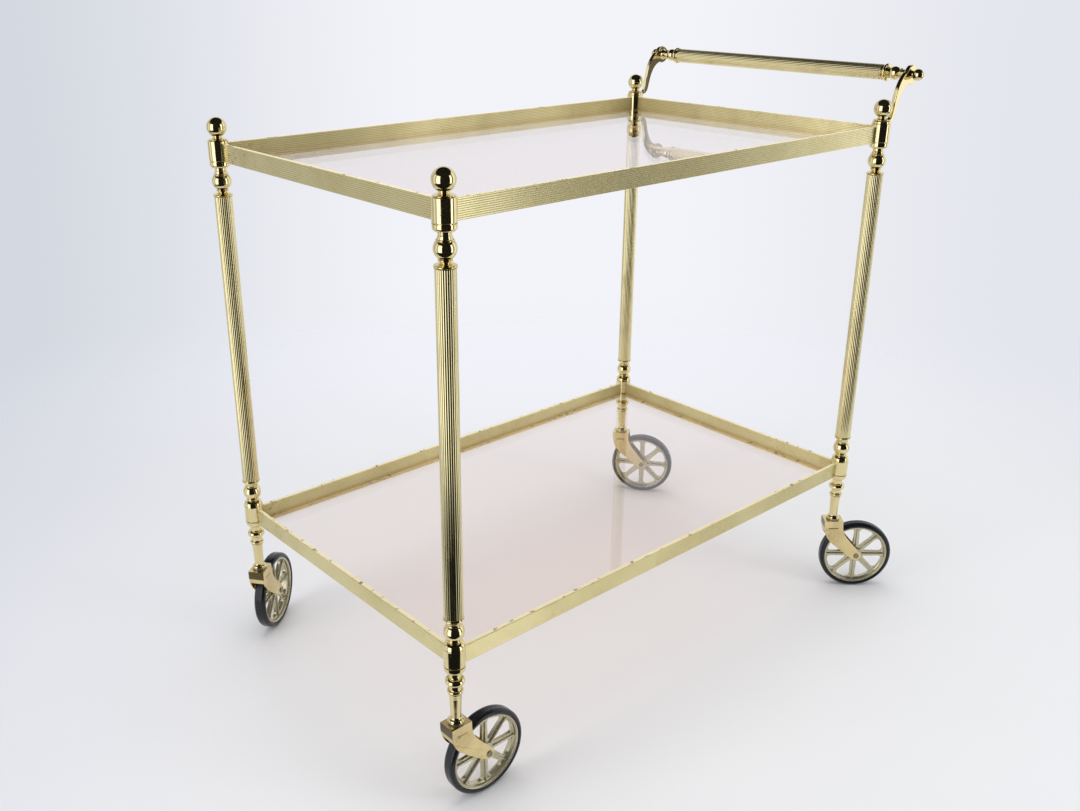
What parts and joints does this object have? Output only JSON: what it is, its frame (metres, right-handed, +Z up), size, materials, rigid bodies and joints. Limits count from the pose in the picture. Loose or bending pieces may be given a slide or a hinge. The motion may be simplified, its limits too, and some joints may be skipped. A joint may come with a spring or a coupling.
{
  "type": "dessert trolley",
  "caption": "Two-tier dessert trolley with reeded brass legs, lined brass rails, lift-out smoked glass shelves, an end push handle and spoked swivel casters.",
  "frame": {"origin": "on the floor, at the centre of the whole trolley's outline with its casters as they stand", "axes": "+X along the long side towards the push handle, +Y across to the back long side, +Z up"},
  "size_m": [0.7643, 0.5316, 0.7198],
  "materials": {
    "polished_brass": "polished and lacquered",
    "reeded_brass": "polished, reeded",
    "rail_brass": "satin, finely lined, aged",
    "satin_brass": "satin, pressed sheet",
    "smoked_glass": "clear float glass with a light smoked tint",
    "tyre_rubber": "smooth black rubber",
    "wheel_alloy": "cast, champagne lacquer",
    "rivet_steel": "dull",
    "rod_steel": "bright zinc",
    "clear_pad": "clear soft plastic"
  },
  "bodies": {
    "trolley": {"near_finial": "polished_brass", "near_post": "polished_brass", "near_leg": "reeded_brass", "near_low_post": "polished_brass", "near_stem": "polished_brass", "left_finial": "polished_brass", "left_post": "polished_brass", "left_leg": "reeded_brass", "left_low_post": "polished_brass", "left_stem": "polished_brass", "right_finial": "polished_brass", "right_post": "polished_brass", "right_leg": "reeded_brass", "right_low_post": "polished_brass", "right_stem": "polished_brass", "far_finial": "polished_brass", "far_post": "polished_brass", "far_leg": "reeded_brass", "far_low_post": "polished_brass", "far_stem": "polished_brass", "upper_turnings": "polished_brass", "lower_turnings": "polished_brass", "leg_rods": "rod_steel", "swivel_races": "rivet_steel", "top_front_rail": "rail_brass", "top_back_rail": "rail_brass", "top_left_rail": "rail_brass", "top_right_rail": "rail_brass", "low_front_rail": "rail_brass", "low_back_rail": "rail_brass", "low_left_rail": "rail_brass", "low_right_rail": "rail_brass", "rail_screws": "rod_steel", "glass_pads": "clear_pad", "grip_tube": "reeded_brass", "grip_collars": "polished_brass", "grip_rod": "rod_steel", "right_bracket": "polished_brass", "far_bracket": "polished_brass", "end_balls": "polished_brass"},
    "near_caster": {"near_fork": "satin_brass", "near_axle": "rivet_steel"},
    "near_roller": {"near_wheel": "wheel_alloy", "near_tyre": "tyre_rubber"},
    "left_caster": {"left_fork": "satin_brass", "left_axle": "rivet_steel"},
    "left_roller": {"left_wheel": "wheel_alloy", "left_tyre": "tyre_rubber"},
    "right_caster": {"right_fork": "satin_brass", "right_axle": "rivet_steel"},
    "right_roller": {"right_wheel": "wheel_alloy", "right_tyre": "tyre_rubber"},
    "far_caster": {"far_fork": "satin_brass", "far_axle": "rivet_steel"},
    "far_roller": {"far_wheel": "wheel_alloy", "far_tyre": "tyre_rubber"},
    "top_shelf": {"top_glass": "smoked_glass"},
    "low_shelf": {"low_glass": "smoked_glass"}
  },
  "joints": [
    {"name": "near_swivel", "type": "hinge", "parent": "trolley", "child": "near_caster", "pos_m": [-0.36716, -0.20388, 0.105], "axis": [0, 0, 1], "continuous": true},
    {"name": "near_roll", "type": "hinge", "parent": "near_caster", "child": "near_roller", "pos_m": [-0.33046, -0.20388, 0.05], "axis": [0, 1, 0], "continuous": true},
    {"name": "left_swivel", "type": "hinge", "parent": "trolley", "child": "left_caster", "pos_m": [-0.36716, 0.20812, 0.105], "axis": [0, 0, 1], "continuous": true},
    {"name": "left_roll", "type": "hinge", "parent": "left_caster", "child": "left_roller", "pos_m": [-0.33824, 0.23072, 0.05], "axis": [-0.6157, 0.788, 0], "continuous": true},
    {"name": "right_swivel", "type": "hinge", "parent": "trolley", "child": "right_caster", "pos_m": [0.31284, -0.20388, 0.105], "axis": [0, 0, 1], "continuous": true},
    {"name": "right_roll", "type": "hinge", "parent": "right_caster", "child": "right_roller", "pos_m": [0.34011, -0.22843, 0.05], "axis": [0.6691, 0.7431, 0], "continuous": true},
    {"name": "far_swivel", "type": "hinge", "parent": "trolley", "child": "far_caster", "pos_m": [0.31284, 0.20812, 0.105], "axis": [0, 0, 1], "continuous": true},
    {"name": "far_roll", "type": "hinge", "parent": "far_caster", "child": "far_roller", "pos_m": [0.33441, 0.17843, 0.05], "axis": [0.809, 0.5878, 0], "continuous": true},
    {"name": "top_glass_lift", "type": "slide", "parent": "trolley", "child": "top_shelf", "axis": [0, 0, 1], "range_m": [0, 0.06]},
    {"name": "low_glass_lift", "type": "slide", "parent": "trolley", "child": "low_shelf", "axis": [0, 0, 1], "range_m": [0, 0.06]}
  ]
}
